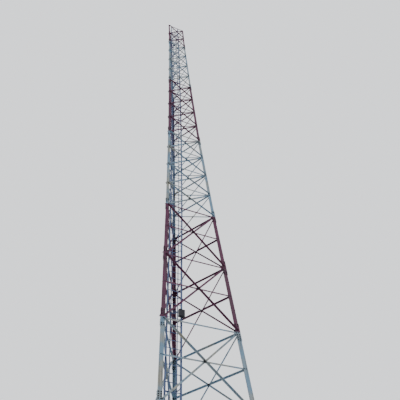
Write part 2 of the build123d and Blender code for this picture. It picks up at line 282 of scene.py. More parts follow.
def plain_floor(name, tint):
    """A pale studio floor with a faint mottling."""
    r = Recipe(name)
    pale = tuple(min(1.0, c * 1.03) for c in tint)
    r.feed("Base Color", r.mix(r.noise(0.4, detail=3.0), tint, pale))
    r.feed("Roughness", 0.9)
    return r.material


def dress(names, material):
    """Give a material to CAD nodes."""
    for name in names:
        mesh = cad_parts[name].data
        mesh.materials.clear()
        mesh.materials.append(material)


# ---------------------------------------------------------------- set-out, as the solids have it


SECTION_HEIGHTS = (6.0, 6.0, 6.0, 6.0, 6.0, 6.0, 3.0)
MAST_TOP = sum(SECTION_HEIGHTS)
PANELS = (2, 2, 2, 4, 4, 4, 2)
WAIST_SECTIONS = 3
UPPER_WIDTHS = (1.86, 1.52, 1.26, 1.21)
# Leg flange, its thickness, brace flange, its thickness
HEAVY = (0.160, 0.015, 0.060, 0.006)
MEDIUM = (0.140, 0.012, 0.050, 0.005)
LIGHT = (0.110, 0.010, 0.045, 0.005)
STEELS = (HEAVY, HEAVY, HEAVY, MEDIUM, MEDIUM, LIGHT, LIGHT)
SIDE_HEADINGS = {"front": 270.0, "right": 30.0, "left": 150.0}
LEG_HEADINGS = {"left": 210.0, "right": 330.0, "back": 90.0}
ROOT3 = math.sqrt(3)
HALF_CORNER = math.radians(30.0)
# From the end of a bar to the next side
END_GAP = 0.012
# The lowest node, up the slope from the ground
FOOT_NODE = 0.300
# The two plates that clamp a crossing, and how wide they are in bar flanges
CLAMP_THICK = 0.005
CLAMP_SHARE = 1.5
# Sections at whose foot two lengths of ladder meet
LADDER_JOINTS = (3, 5)
# A hoop's flats turn 20 degrees from one to the next; straps stand on three of them
HOOP_FLAT = math.radians(20.0)
STRAP_TURNS = (-3 * HOOP_FLAT, 0.0, 3 * HOOP_FLAT)

# How far a gusset laps its bar past the trimmed end, in bar flanges
GUSSET_LAP = 1.5
# Bolts of a gusset: their pitch at least, the first from its node, and the distance to its edge
BOLT_PITCH = 0.055
GUSSET_START = 0.030
GUSSET_EDGE = 0.025
# Bolts of an inner long bar from its trimmed end, in bar flanges
INNER_BAR_STEPS = (0.4, 1.1)
# Bolts of an outer long bar from its node
OUTER_BAR_RUNS = (0.018, 0.066)
# Bolts of a horizontal: from its own end, and from the edge of the leg's flange
FLAT_END = 0.020
FLANGE_EDGE = 0.022
# Bolts of a splice cover: rows from the joint, and columns as shares of the leg's flange
SPLICE_ROWS = (0.11, 0.18, 0.25, 0.32)
SPLICE_COLUMNS = (0.23, 0.77)
# Half a pack across and up, as shares of the leg's flange and of the bar's
PACK_SHARES = (0.46, 0.95)
# Packs end this far under the mast's top
PACK_DROP = 0.001
# Lugs nearer than this to the mast's top are welded
WELDED_DROP = 0.01
# Bolts of a lug from its middle, as a share of its width
LUG_SHARE = 0.28


def axis_point(sizes):
    """Where the mast's axis stands from the middle of the left foot plate, and how far off."""
    radius = sizes.base_width / ROOT3 - HEAVY[0] / 2 * math.cos(HALF_CORNER)
    return radius * math.cos(HALF_CORNER), radius * math.sin(HALF_CORNER), radius


class Side:
    """One section of one side, with its leaning frame: right, up the slope and outwards."""

    def __init__(self, sizes, number, heading):
        taper = (sizes.base_width - sizes.waist_width) / WAIST_SECTIONS
        widths = [sizes.base_width - taper * i for i in range(WAIST_SECTIONS + 1)]
        self.low_width, self.high_width = (*widths, *UPPER_WIDTHS)[number : number + 2]
        self.number = number
        # Sections below the waist have tall panels, and a joint of the legs at their middle
        self.is_tall = number < WAIST_SECTIONS
        self.bottom = sum(SECTION_HEIGHTS[:number])
        self.height = SECTION_HEIGHTS[number]
        self.leg, self.leg_thick, self.brace, self.brace_thick = STEELS[number]
        self.lean = math.atan((self.low_width - self.high_width) / (2 * ROOT3) / self.height)
        self.slope = self.height / math.cos(self.lean)
        x0, y0, _ = axis_point(sizes)
        reach = self.low_width / (2 * ROOT3)
        ahead = math.cos(math.radians(heading)), math.sin(math.radians(heading))
        self.origin = np.array([x0 + reach * ahead[0], y0 + reach * ahead[1], self.bottom])
        self.right = np.array([-ahead[1], ahead[0], 0.0])
        level = math.cos(self.lean)
        self.out = np.array([ahead[0] * level, ahead[1] * level, math.sin(self.lean)])
        self.up = np.cross(self.out, self.right)
        # Depths: back of the leg flange, of the gussets and flats, outside of the covers
        self.face = -self.leg_thick * level
        self.back = self.face - self.brace_thick
        self.front = sizes.cover_thick * level

    def half(self, up):
        """Half the side's width at a distance up its slope."""
        return (self.low_width + (self.high_width - self.low_width) * up / self.slope) / 2

    def place(self, local):
        """Local points (n, 3) to the frame."""
        local = np.asarray(local, float).reshape(-1, 3)
        return self.origin + local @ np.stack([self.right, self.up, self.out])

    def panels(self):
        """The side's panels, from the ground up."""
        return [Panel(self, index) for index in range(PANELS[self.number])]


def sides(sizes, number):
    """The three sides of a section."""
    return [Side(sizes, number, heading) for heading in SIDE_HEADINGS.values()]


def front_sides(sizes, numbers=range(len(PANELS))):
    """The front sides of some sections, from the ground up."""
    return [Side(sizes, number, SIDE_HEADINGS["front"]) for number in numbers]


def clear_of_corner(side, depth):
    """How far from the heel a thing this deep behind the gussets clears the next side."""
    return (side.leg_thick + side.brace_thick + depth) * ROOT3 + END_GAP


class Panel:
    """The set-out of one crossed panel in the plane of its side."""

    def __init__(self, side, index):
        rise = side.slope / PANELS[side.number]
        self.low = FOOT_NODE if side.bottom == 0 and index == 0 else index * rise
        self.high = (index + 1) * rise
        self.has_lugs = side.is_tall or index % 2 == 1
        self.at_low_joint = side.number > 0 if index == 0 else side.is_tall
        last = index == PANELS[side.number] - 1
        self.at_top_joint = side.number < len(PANELS) - 1 if last else side.is_tall
        self.grip, half_bar = side.leg / 2, side.brace / 2
        low_in, high_in = (side.half(level) - self.grip for level in (self.low, self.high))
        self.low_up, self.high_up = self.low + half_bar, self.high - half_bar
        climb, spread = self.high_up - self.low_up, low_in + high_in
        steep = math.atan2(climb, spread)
        self.cos, self.sin = math.cos(steep), math.sin(steep)
        self.cross = self.low_up + climb * low_in / spread
        self.trim = (clear_of_corner(side, side.brace) - self.grip) / self.cos
        self.tall = half_bar + (self.trim + GUSSET_LAP * side.brace) * self.sin
        # Both ends of a long bar: hand, distance from the middle, level and way along the bar
        self.inner_ends = ((-1, low_in, self.low_up, 1), (1, high_in, self.high_up, -1))
        self.outer_ends = ((-1, high_in, self.high_up, -1), (1, low_in, self.low_up, 1))

    def along(self, end, run):
        """Across and up, at a distance along a long bar from one of its ends."""
        hand, across, up, way = end
        return hand * (across - run * self.cos), up + way * run * self.sin


def panel_bolts(side, panel):
    """Where bolts pass through one panel: rows of across, up, head depth, nut depth."""
    rows = []
    outer = side.front + side.brace_thick
    inner = side.back - side.brace_thick
    # Inner long bar on its two gussets
    for end in panel.inner_ends:
        for step in INNER_BAR_STEPS:
            rows.append((*panel.along(end, panel.trim + step * side.brace), side.face, inner))
    # Gussets on the leg flanges, where no cover of a joint lies
    for hand, start, way, joint in (
        (-1, panel.low, 1, panel.at_low_joint),
        (1, panel.high, -1, panel.at_top_joint),
    ):
        if not joint:
            first = GUSSET_START if way > 0 else side.brace + GUSSET_EDGE
            last = panel.tall - GUSSET_EDGE
            count = 1 + int((last - first) / BOLT_PITCH)
            for up in np.linspace(first, last, count) if count > 1 else [(first + last) / 2]:
                level = start + way * up
                rows.append((hand * (side.half(level) - panel.grip), level, 0.0, side.back))
    # Outer long bar on the leg flanges
    for end in panel.outer_ends:
        nut = side.back if end[0] < 0 else side.face
        rows += [(*panel.along(end, run), outer, nut) for run in OUTER_BAR_RUNS]
    # Horizontals on the leg flanges
    flats = [(panel.high_up, (1,), panel.at_top_joint)]
    if side.is_tall:
        flats.append((panel.cross, (-1, 1), False))
    for level, hands, joint in flats:
        head = side.front if joint else 0.0
        for hand in hands:
            for from_heel in (clear_of_corner(side, 0.0) + FLAT_END, side.leg - FLANGE_EDGE):
                rows.append((hand * (side.half(level) - from_heel), level, head, side.back))
    # The crossing, through its two plates
    rows.append((0.0, panel.cross, outer + CLAMP_THICK, inner - CLAMP_THICK))
    return rows


def splice_bolts(side):
    """Where bolts pass through the covers at each joint of the legs, as in panel_bolts."""
    joints = [(0.0, 1)] if side.number > 0 else []
    if side.number < len(PANELS) - 1:
        joints.append((side.slope, -1))
    if side.is_tall:
        joints += [(side.slope / 2, 1), (side.slope / 2, -1)]
    rows = []
    for joint, way in joints:
        for hand in (-1, 1):
            # An outer long bar lies over the first two rows of every other cover
            bare = (hand > 0) == (way < 0)
            for up in SPLICE_ROWS if bare else SPLICE_ROWS[2:]:
                level = joint + way * up
                for share in SPLICE_COLUMNS:
                    across = hand * (side.half(level) - share * side.leg)
                    rows.append((across, level, side.front, side.face))
    return rows


# ---------------------------------------------------------------- surfaces


QUARTER = math.pi / 2
# Sides of a hexagon and of round things, from the smallest to the largest
HEXAGON, SMALL_ROUND, ROUND, LARGE_ROUND = 6, 8, 12, 16
# Points on each quarter circle of a slab's corner and rim
QUARTER_POINTS = 5
# Corner of a hexagon that is 1.5 threads across its flats, in threads as all below
HEX = 0.866
WASHER = np.array([(1.0, 0.0), (1.0, 0.15)])
HEAD = np.array([(HEX, 0.15), (HEX, 0.65), (0.80 * HEX, 0.78)])
NUT = np.array([(HEX, 0.15), (HEX, 0.85), (0.82 * HEX, 0.97)])
BOLT_END = np.array([(0.5, 0.90), (0.5, 1.25)])
ANCHOR_WASHER = np.array([(1.1, 0.0), (1.1, 0.2)])
ANCHOR_NUT = np.array([(0.9 * HEX, 0.20), (HEX, 0.27), (HEX, 0.93), (0.9 * HEX, 1.00)])
LOCK_NUT = np.array([(0.9 * HEX, 1.02), (HEX, 1.10), (HEX, 1.40), (0.9 * HEX, 1.50)])
# Turns of the nuts against their bolts and each other, in sides
NUT_TWIST, LOCK_TWIST = 0.3, 0.4
# The chamfer on an anchor bolt's end: its radius in threads and its height in metres
ANCHOR_TIP, ANCHOR_CHAMFER = 0.42, 0.004


def skin(rings):
    """Rings of points as one closed surface: quads from ring to ring, one face at each end."""
    rings = np.asarray(rings, float)
    count = rings.shape[1]
    ring = np.arange(count)
    after = (ring + 1) % count
    quads = np.stack([ring, after, count + after, count + ring], 1)
    starts = np.arange(len(rings) - 1)[:, None, None] * count
    walls = (quads + starts).reshape(-1, 4).tolist()
    last = (len(rings) - 1) * count + ring
    return rings.reshape(-1, 3), [*walls, ring[::-1].tolist(), last.tolist()]


def lathe(profile, corners, twist=0.0):
    """A profile turned about the height, with few sides.

    Each profile point is a radius and a height; its ring has corners at that
    radius r and the angles 2 pi (k + twist) / corners.
    """
    turn = 4 * QUARTER * (np.arange(corners) + twist) / corners
    profile = np.asarray(profile, float)
    x = profile[:, :1] * np.cos(turn)
    y = profile[:, :1] * np.sin(turn)
    z = np.broadcast_to(profile[:, 1:], x.shape)
    return skin(np.stack([x, y, z], axis=-1))


def cushion(width, height, depth, corner, rim):
    """A flat slab with round corners and a rounded front edge.

    The outline is a rectangle whose corners are quarter circles of radius r.
    It is carried up the slab's depth while a quarter turn t of the rim insets
    it by rim (1 - cos t) at the height depth - rim (1 - sin t).
    """
    turn = np.linspace(0, QUARTER, QUARTER_POINTS)
    quarter = (np.arange(4)[:, None] * QUARTER + turn).ravel()
    sign = np.array([[1, 1], [-1, 1], [-1, -1], [1, -1]]).repeat(len(turn), 0)
    heart = np.array([width / 2 - corner, height / 2 - corner]) * sign
    inset = np.append(0.0, rim * (1 - np.cos(turn)))[:, None, None]
    rise = np.append(0.0, depth - rim * (1 - np.sin(turn)))[:, None, None]
    edge = heart + (corner - inset) * np.stack([np.cos(quarter), np.sin(quarter)], 1)
    return skin(np.concatenate([edge, np.broadcast_to(rise, (*edge.shape[:2], 1))], 2))


def merged(*parts):
    """Several (points, faces) as one."""
    points, faces, start = [], [], 0
    for part_points, part_faces in parts:
        points.append(part_points)
        faces += [[start + i for i in face] for face in part_faces]
        start += len(part_points)
    return np.concatenate(points), faces


def hex_head(thread):
    """A bolt head on its washer; sizes follow from the thread."""
    return merged(lathe(WASHER * thread, SMALL_ROUND), lathe(HEAD * thread, HEXAGON))


def hex_nut(thread):
    """A nut on its washer with the end of the bolt through it."""
    return merged(
        lathe(WASHER * thread, SMALL_ROUND),
        lathe(NUT * thread, HEXAGON, NUT_TWIST),
        lathe(BOLT_END * thread, HEXAGON),
    )


def stamped(template, places, normals, along):
    """One copy of a template at each place.

    The template's height runs along the normal; its first axis is the part of
    `along` that is square to the normal. All copies come from one product of arrays.
    """
    points, faces = template
    places = np.asarray(places, float).reshape(-1, 3)
    normals = np.broadcast_to(np.asarray(normals, float), places.shape)
    first = np.broadcast_to(np.asarray(along, float), places.shape)
    first = first - (first * normals).sum(1, keepdims=True) * normals
    first = first / np.linalg.norm(first, axis=1, keepdims=True)
    basis = np.stack([first, np.cross(normals, first), normals], axis=1)
    spread = places[:, None, :] + np.einsum("pi,nij->npj", points, basis)
    starts = np.arange(len(places)) * len(points)
    shifted = [[[s + i for i in face] for face in faces] for s in starts.tolist()]
    return spread.reshape(-1, 3), [face for copy in shifted for face in copy]


def bolted(thread, heads, nuts, out, along):
    """Bolts: heads that face outwards at one row of places, nuts that face back at another."""
    return merged(
        stamped(hex_head(thread), heads, out, along),
        stamped(hex_nut(thread), nuts, -out, along),
    )


def bolt_rows(side, rows, thread):
    """The bolts of a side for rows of across, up, head depth, nut depth."""
    rows = np.asarray(rows, float)
    heads, nuts = side.place(rows[:, (0, 1, 2)]), side.place(rows[:, (0, 1, 3)])
    return bolted(thread, heads, nuts, side.out, side.up)


def piece(name, shape, finish, slot):
    """A mesh object that rides with the mast, in one of the finishes made above."""
    points, faces = shape
    mesh = bpy.data.meshes.new(name)
    mesh.from_pydata(points.tolist(), [], faces)
    mesh.materials.append(bpy.data.materials[finish])
    mesh.update()
    thing = bpy.data.objects.new(name, mesh)
    bpy.context.scene.collection.objects.link(thing)
    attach(thing, "root")


def bolt_piece(name, shapes):
    """A piece of dark bolts or plates from several shapes."""
    piece(name, merged(*shapes), "dark_bolts", "ladder_steel")


def leg_cover(sizes, number, heading):
    """An angle cover over the middle joint of a leg, folded to 60 degrees as the leg is.

    Its heel stands outside the leg's heel by twice the cover's thickness; the
    corners at the two levels follow the leg's lean.
    """
    side = Side(sizes, number, heading)
    back = np.array([-math.cos(HALF_CORNER), math.sin(HALF_CORNER)])
    inward = np.array([-math.sin(HALF_CORNER), -math.cos(HALF_CORNER)])
    x0, y0, _ = axis_point(sizes)
    turn = math.radians(heading)
    spin = np.array([[math.cos(turn), math.sin(turn)], [-math.sin(turn), math.cos(turn)]])
    heel_out = 2 * sizes.cover_thick
    rings = []
    for level in (side.height / 2 - sizes.cover_reach, side.height / 2 + sizes.cover_reach):
        heel = 2 * side.half(level * side.slope / side.height) / ROOT3 + heel_out
        tip = np.array([heel, 0.0]) + back * side.leg
        tips = np.array([tip, tip + inward * sizes.cover_thick])
        inner = [heel - heel_out, 0.0]
        corners = np.array([[heel, 0.0], *tips, inner, *(tips[::-1] * (1, -1))])
        flat = corners @ spin + (x0, y0)
        rings.append(np.column_stack([flat, np.full(len(flat), side.bottom + level)]))
    return skin(rings)


def bar_packs(side):
    """Packs between a leg flange and the end of each outer long bar, but not where covers are."""
    packs = []
    for panel in side.panels():
        joints = (panel.at_top_joint, panel.at_low_joint)
        for (hand, _, level, _), joint in zip(panel.outer_ends, joints):
            if not joint:
                x, y = np.array([side.leg, side.brace]) * PACK_SHARES
                corners = np.array([[-x, -y], [x, -y], [x, y], [-x, y]])
                corners += (hand * (side.half(level) - panel.grip), level)
                corners[:, 1] = np.minimum(corners[:, 1], side.slope - PACK_DROP)
                depths = (0.0, side.front)
                rings = [side.place(np.column_stack([corners, [depth] * 4])) for depth in depths]
                packs.append(skin(rings))
    return packs


def band(number):
    """The finish and the slot of a section's paint."""
    return ("warning_red", "red_paint") if number % 2 == 0 else ("warning_white", "white_paint")


def ladder_frame(side, sizes):
    """Foot, across, up, outwards and length of the ladder behind a section of the front side."""
    shift = sizes.ladder_offset
    foot = side.place([shift - side.low_width / 2, 0, -sizes.ladder_inset])[0]
    head = side.place([shift - side.high_width / 2, side.slope, -sizes.ladder_inset])[0]
    run = np.linalg.norm(head - foot)
    up = (head - foot) / run
    return foot, np.cross(up, side.out), up, side.out, run


def hoop_places(sizes):
    """The middle of the ladder at each hoop, with its across, up and outwards."""
    top = MAST_TOP - sizes.hoop_drop
    levels = np.append(np.arange(sizes.hoop_start, top, sizes.hoop_pitch), top)
    found = []
    for side in front_sides(sizes):
        foot, across, up, out, run = ladder_frame(side, sizes)
        for level in levels:
            if side.bottom <= level <= side.bottom + side.height - sizes.hoop_depth:
                rise = (level - side.bottom) * run / side.height + sizes.hoop_depth / 2
                found.append((foot + rise * up, across, up, out))
    return found


def lug_bolts(side, sizes):
    """Where bolts leave the horizontals above, and the ladder's lugs below."""
    above, below = [], []
    deep = side.back - side.brace / 2
    welded = MAST_TOP - WELDED_DROP
    for panel in side.panels():
        if panel.has_lugs and side.bottom + panel.high * math.cos(side.lean) < welded:
            for hand in (-1, 1):
                rail = hand * (sizes.ladder_width - sizes.rail_thick) / 2
                across = sizes.ladder_offset - side.half(panel.high) + rail
                under = panel.high - side.brace_thick - sizes.lug_thick
                for shift in (-LUG_SHARE * sizes.lug_width, LUG_SHARE * sizes.lug_width):
                    above.append((across + shift, panel.high, deep))
                    below.append((across + shift, under, deep))
    return side.place(above), side.place(below)


# Widths of the plates at a joint, as shares of the rail and of the strap they lie on
RAIL_PLATE_SHARE, STRAP_PLATE_SHARE = 0.8, 0.9
# Length of a strap's plate as a share of a rail's
STRAP_PLATE_LENGTH = 0.8
# Bolts in both kinds of plate, from the joint in lengths of a rail's plate
RAIL_PLATE_BOLTS = (-0.36, -0.14, 0.14, 0.36)
STRAP_PLATE_BOLTS = (-0.25, 0.25)
# Door over the box's width and height, rain hood over its width and depth
DOOR_SHARES = (0.93, 0.945)
HOOD_SHARES = (1.06, 1.10)
DOOR_THICK = 0.010
# Where the box's fittings sit, as shares of its height and width from the middle
HINGE_LEVELS = (-0.32, 0.32)
HINGE_ACROSS, LOCK_ACROSS = -0.46, 0.40
GLANDS_ACROSS = (-0.28, 0.0, 0.28)
HINGE_OUT = 0.007
# Profiles of the fittings: radius and height in metres
HINGE = ((0.005, -0.028), (0.007, -0.026), (0.007, 0.026), (0.005, 0.028))
LOCK = ((0.013, 0.0), (0.013, 0.004), (0.010, 0.006), (0.010, 0.009), (0.008, 0.010))
GLAND_NUT = ((0.016, 0.0), (0.016, 0.006))
GLAND_BODY = ((0.013, 0.006), (0.013, 0.014))
GLAND_CAP = ((0.0145, 0.014), (0.0145, 0.022), (0.011, 0.030), (0.007, 0.032))


# ---------------------------------------------------------------- operators


class MAST_OT_paint_steelwork(bpy.types.Operator):
    """Paint the legs and sides in red and white bands"""

    bl_idname = "mast.paint_steelwork"
    bl_label = "Paint Steelwork"

    def execute(self, context):
        c = context.scene.mast_colours
        dirt = (c.rust, c.grime)
        red = weathered_paint(
            "warning_red", c.red, c.red_faded, *dirt, chip_share=0.08, roughness=0.66
        )
        # The white's two tones are a blue painted shade and a beige painted highlight, mixed in
        # slow patches
        white_with_painted_shade = weathered_paint(
            "warning_white", c.white_with_painted_shade, c.white_painted_highlight, *dirt, chip_share=0.06, roughness=0.62
        )
        steelwork = [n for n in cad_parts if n.startswith(("leg_", "side_"))]
        dress([n for n in steelwork if int(n.rsplit("_", 1)[1]) % 2], red)
        dress([n for n in steelwork if not int(n.rsplit("_", 1)[1]) % 2], white_with_painted_shade)
        spangled_zinc("dark_bolts", c.bolt, c.rust)
        spangled_zinc("anchor_zinc", c.zinc, c.rust)
        return {"FINISHED"}


class MAST_OT_finish_ladder(bpy.types.Operator):
    """Give the ladder, the cage and the junction box their finish"""

    bl_idname = "mast.finish_ladder"
    bl_label = "Finish Ladder"

    def execute(self, context):
        c = context.scene.mast_colours
        steel = rubbed_steel("ladder_coat", c.dark_steel, c.dark_worn, c.rust)
        dress([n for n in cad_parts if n.startswith(("ladder_", "cage_"))], steel)
        coat = weathered_paint(
            "box_coat", c.box, c.box_worn, c.rust, c.box_worn, chip_share=0.0, roughness=0.5
        )
        dress(["junction_box"], coat)
        return {"FINISHED"}


class MAST_OT_cover_joints(bpy.types.Operator):
    """Put angle covers on the legs' middle joints and packs under the ends of the outer bars"""

    bl_idname = "mast.cover_joints"
    bl_label = "Cover Joints"

    def execute(self, context):
        sizes = context.scene.mast_sizes
        for number in range(len(PANELS)):
            headings = LEG_HEADINGS.values() if number < WAIST_SECTIONS else ()
            shapes = [leg_cover(sizes, number, heading) for heading in headings]
            shapes += [pack for side in sides(sizes, number) for pack in bar_packs(side)]
            piece(f"joint_covers_{number + 1}", merged(*shapes), *band(number))
        return {"FINISHED"}


class MAST_OT_plate_crossings(bpy.types.Operator):
    """Clamp the long bars between small square plates where they cross"""

    bl_idname = "mast.plate_crossings"
    bl_label = "Plate Crossings"

    def execute(self, context):
        sizes = context.scene.mast_sizes
        for number in range(len(PANELS)):
            shapes = []
            for side in sides(sizes, number):
                wide = CLAMP_SHARE * side.brace
                plate = cushion(wide, wide, CLAMP_THICK, corner=0.010, rim=0.002)
                middles = np.array([(0.0, panel.cross, 0.0) for panel in side.panels()])
                outer = side.place(middles + (0, 0, side.front + side.brace_thick))
                inner = side.place(middles + (0, 0, side.back - side.brace_thick))
                shapes.append(stamped(plate, outer, side.out, side.up))
                shapes.append(stamped(plate, inner, -side.out, side.up))
            bolt_piece(f"crossing_plates_{number + 1}", shapes)
        return {"FINISHED"}


class MAST_OT_bolt_panels(bpy.types.Operator):
    """Bolt the bars and gussets of every panel"""

    bl_idname = "mast.bolt_panels"
    bl_label = "Bolt Panels"

    def execute(self, context):
        sizes = context.scene.mast_sizes
        thread = context.scene.bolt_sizes.bar_bolt
        for number in range(len(PANELS)):
            shapes = []
            for side in sides(sizes, number):
                rows = [row for panel in side.panels() for row in panel_bolts(side, panel)]
                shapes.append(bolt_rows(side, rows, thread))
            bolt_piece(f"panel_bolts_{number + 1}", shapes)
        return {"FINISHED"}


class MAST_OT_bolt_splices(bpy.types.Operator):
    """Bolt the covers at the joints of the legs"""

    bl_idname = "mast.bolt_splices"
    bl_label = "Bolt Splices"

    def execute(self, context):
        sizes = context.scene.mast_sizes
        thread = context.scene.bolt_sizes.leg_bolt
        for number in range(len(PANELS)):
            found = [(side, splice_bolts(side)) for side in sides(sizes, number)]
            shapes = [bolt_rows(side, rows, thread) for side, rows in found]
            bolt_piece(f"splice_bolts_{number + 1}", shapes)
        return {"FINISHED"}


class MAST_OT_anchor_feet(bpy.types.Operator):
    """Set anchor bolts with washers and double nuts in the foot plates"""

    bl_idname = "mast.anchor_feet"
    bl_label = "Anchor Feet"

    def execute(self, context):
        sizes = context.scene.mast_sizes
        bolts = context.scene.bolt_sizes
        thread, tall = bolts.anchor_bolt, bolts.anchor_height
        shank = [(thread / 2, 0), (thread / 2, tall - ANCHOR_CHAMFER), (ANCHOR_TIP * thread, tall)]
        anchor = merged(
            lathe(ANCHOR_WASHER * thread, LARGE_ROUND),
            lathe(ANCHOR_NUT * thread, HEXAGON),
            lathe(LOCK_NUT * thread, HEXAGON, LOCK_TWIST),
            lathe(shank, ROUND),
        )
        x0, y0, radius = axis_point(sizes)
        places = []
        for heading in LEG_HEADINGS.values():
            turn = math.radians(heading)
            centre = (x0 + radius * math.cos(turn), y0 + radius * math.sin(turn), sizes.foot_thick)
            spread = turn + (np.arange(4) + 0.5) * QUARTER
            ring = np.stack([np.cos(spread), np.sin(spread), np.zeros(4)], 1)
            places.append(centre + ring * sizes.foot_circle / 2)
        shape = stamped(anchor, np.concatenate(places), (0, 0, 1), (1, 0, 0))
        piece("anchor_bolts", shape, "anchor_zinc", "ladder_steel")
        return {"FINISHED"}


class MAST_OT_join_rails(bpy.types.Operator):
    """Join the lengths of rail and of cage strap with bolted plates"""

    bl_idname = "mast.join_rails"
    bl_label = "Join Rails"

    def execute(self, context):
        sizes = context.scene.mast_sizes
        thread = context.scene.bolt_sizes.small_bolt
        long, thick, rail = sizes.joint_plate, sizes.strap_thick, sizes.rail_thick
        width = RAIL_PLATE_SHARE * sizes.rail_depth
        plate = cushion(long, width, thick, corner=0.008, rim=0.0015)
        width = STRAP_PLATE_SHARE * sizes.strap_width
        strip = cushion(STRAP_PLATE_LENGTH * long, width, thick, corner=0.005, rim=0.001)
        inside = sizes.ladder_width / 2 - rail
        outside = sizes.ladder_width / 2 * math.cos(HOOP_FLAT / 2)
        plates, bolts = [], []
        for side in front_sides(sizes, LADDER_JOINTS):
            foot, across, up, out, _ = ladder_frame(side, sizes)
            for hand in (-1, 1):
                away = hand * across
                middle = foot + inside * away
                plates.append(stamped(plate, middle, -away, up))
                for share in RAIL_PLATE_BOLTS:
                    place = middle + share * long * up
                    heads, nuts = place + rail * away, place - thick * away
                    bolts.append(bolted(thread, heads, nuts, away, up))
            heart = foot - (sizes.rail_depth / 2 + sizes.hoop_straight) * out
            for turn in STRAP_TURNS:
                spoke = math.sin(turn) * across - math.cos(turn) * out
                plates.append(stamped(strip, heart + outside * spoke, spoke, up))
                for share in STRAP_PLATE_BOLTS:
                    place = heart + share * long * up + outside * spoke
                    heads, nuts = place + thick * spoke, place - thick * spoke
                    bolts.append(bolted(thread, heads, nuts, spoke, up))
        piece("rail_joint_plates", merged(*plates), "ladder_coat", "ladder_steel")
        bolt_piece("rail_joint_bolts", bolts)
        return {"FINISHED"}


class MAST_OT_fit_box(bpy.types.Operator):
    """Fit the junction box with its door, rain hood, hinges, locks and cable glands"""

    bl_idname = "mast.fit_box"
    bl_label = "Fit Junction Box"

    def execute(self, context):
        sizes = context.scene.mast_sizes
        wide, tall, deep = sizes.box_width, sizes.box_height, sizes.box_depth
        number = int(np.searchsorted(np.cumsum(SECTION_HEIGHTS), sizes.box_level))
        (side,) = front_sides(sizes, [number])
        foot, across, up, out, run = ladder_frame(side, sizes)
        rise = (sizes.box_level - side.bottom) * run / side.height
        heart = foot + rise * up + (sizes.ladder_width - sizes.rail_thick) / 2 * across
        front = heart + (sizes.rail_depth / 2 + deep) * out
        middle = heart + (sizes.rail_depth + deep) / 2 * out
        door = cushion(*(DOOR_SHARES * np.array([wide, tall])), DOOR_THICK, corner=0.012, rim=0.004)
        hood = cushion(*(HOOD_SHARES * np.array([wide, deep])), 0.006, corner=0.008, rim=0.002)
        hinge, lock = lathe(HINGE, ROUND), lathe(LOCK, LARGE_ROUND)
        key = cushion(width=0.014, height=0.0035, depth=0.004, corner=0.001, rim=0.0005)
        gland = merged(
            lathe(GLAND_NUT, HEXAGON),
            lathe(GLAND_BODY, LARGE_ROUND),
            lathe(GLAND_CAP, ROUND),
        )
        shapes = [
            stamped(door, front, out, across),
            stamped(hood, middle + tall / 2 * up, up, across),
        ]
        for share in HINGE_LEVELS:
            place = front + share * tall * up
            hinge_at = place + HINGE_ACROSS * wide * across + HINGE_OUT * out
            lock_at = place + LOCK_ACROSS * wide * across + DOOR_THICK * out
            shapes.append(stamped(hinge, hinge_at, up, across))
            shapes.append(stamped(lock, lock_at, out, across))
            shapes.append(stamped(key, lock_at + LOCK[-1][1] * out, out, up))
        for share in GLANDS_ACROSS:
            place = middle - tall / 2 * up + share * wide * across
            shapes.append(stamped(gland, place, -up, across))
        piece("box_fittings", merged(*shapes), "box_coat", "box_paint")
        return {"FINISHED"}


class MAST_OT_bolt_ladder(bpy.types.Operator):
    """Bolt the ladder's lugs to the top horizontals"""

    bl_idname = "mast.bolt_ladder"
    bl_label = "Bolt Ladder"

    def execute(self, context):
        sizes = context.scene.mast_sizes
        thread = context.scene.bolt_sizes.small_bolt
        shapes = []
        for side in front_sides(sizes):
            above, below = lug_bolts(side, sizes)
            shapes.append(bolted(thread, above, below, side.up, side.right))
        bolt_piece("ladder_bolts", shapes)
        return {"FINISHED"}


class MAST_OT_bolt_cage(bpy.types.Operator):
    """Bolt each hoop to the ladder's rails and to its straps"""

    bl_idname = "mast.bolt_cage"
    bl_label = "Bolt Cage"

    def execute(self, context):
        sizes = context.scene.mast_sizes
        thread = context.scene.bolt_sizes.small_bolt
        radius = sizes.ladder_width / 2
        outside = radius + sizes.hoop_thick
        # The middle of a flat lies nearer to the hoop's centre than its ends do
        flat = math.cos(HOOP_FLAT / 2)
        shapes = []
        for centre, across, up, out in hoop_places(sizes):
            for away in (-across, across):
                heads = centre + outside * away
                nuts = centre + (radius - sizes.rail_thick) * away
                shapes.append(bolted(thread, heads, nuts, away, up))
            heart = centre - (sizes.rail_depth / 2 + sizes.hoop_straight) * out
            for turn in STRAP_TURNS:
                spoke = math.sin(turn) * across - math.cos(turn) * out
                heads = heart + outside * flat * spoke
                nuts = heart + (radius * flat - sizes.strap_thick) * spoke
                shapes.append(bolted(thread, heads, nuts, spoke, up))
        bolt_piece("cage_bolts", shapes)
        return {"FINISHED"}


# ---------------------------------------------------------------- stage


FLOOR_SIZE = 400.0
SURROUND_STRENGTH = 1.5
# Name, heading, height, strength and angular size of each sun
SUNS = (("key", 215.0, 48.0, 1.6, 20.0), ("fill", 62.0, 24.0, 1.3, 30.0))
# Where the camera stands, its heading, climb and roll in degrees, its lens in millimetres
CAMERA_SPOT = (-4.365, -12.377, 2.527)
CAMERA_TURNS = (28.346, 48.120, -5.3945)
CAMERA_LENS = 43.16
CAMERA_SENSOR = 36.0
CAMERA_REACH = 500.0


def lay_floor(scene):
    """A square floor with its middle under the mast."""
    low, high = CAD_BOX
    mesh = bpy.data.meshes.new("floor")
    corners = np.array([[-1, -1, 0], [1, -1, 0], [1, 1, 0], [-1, 1, 0]]) * FLOOR_SIZE / 2
    corners[:, :2] += np.array((low + high) / 2)[:2]
    mesh.from_pydata(corners.tolist(), [], [(0, 1, 2, 3)])
    mesh.materials.append(plain_floor("floor", scene.mast_colours.floor))
    floor = bpy.data.objects.new("floor", mesh)
    scene.collection.objects.link(floor)


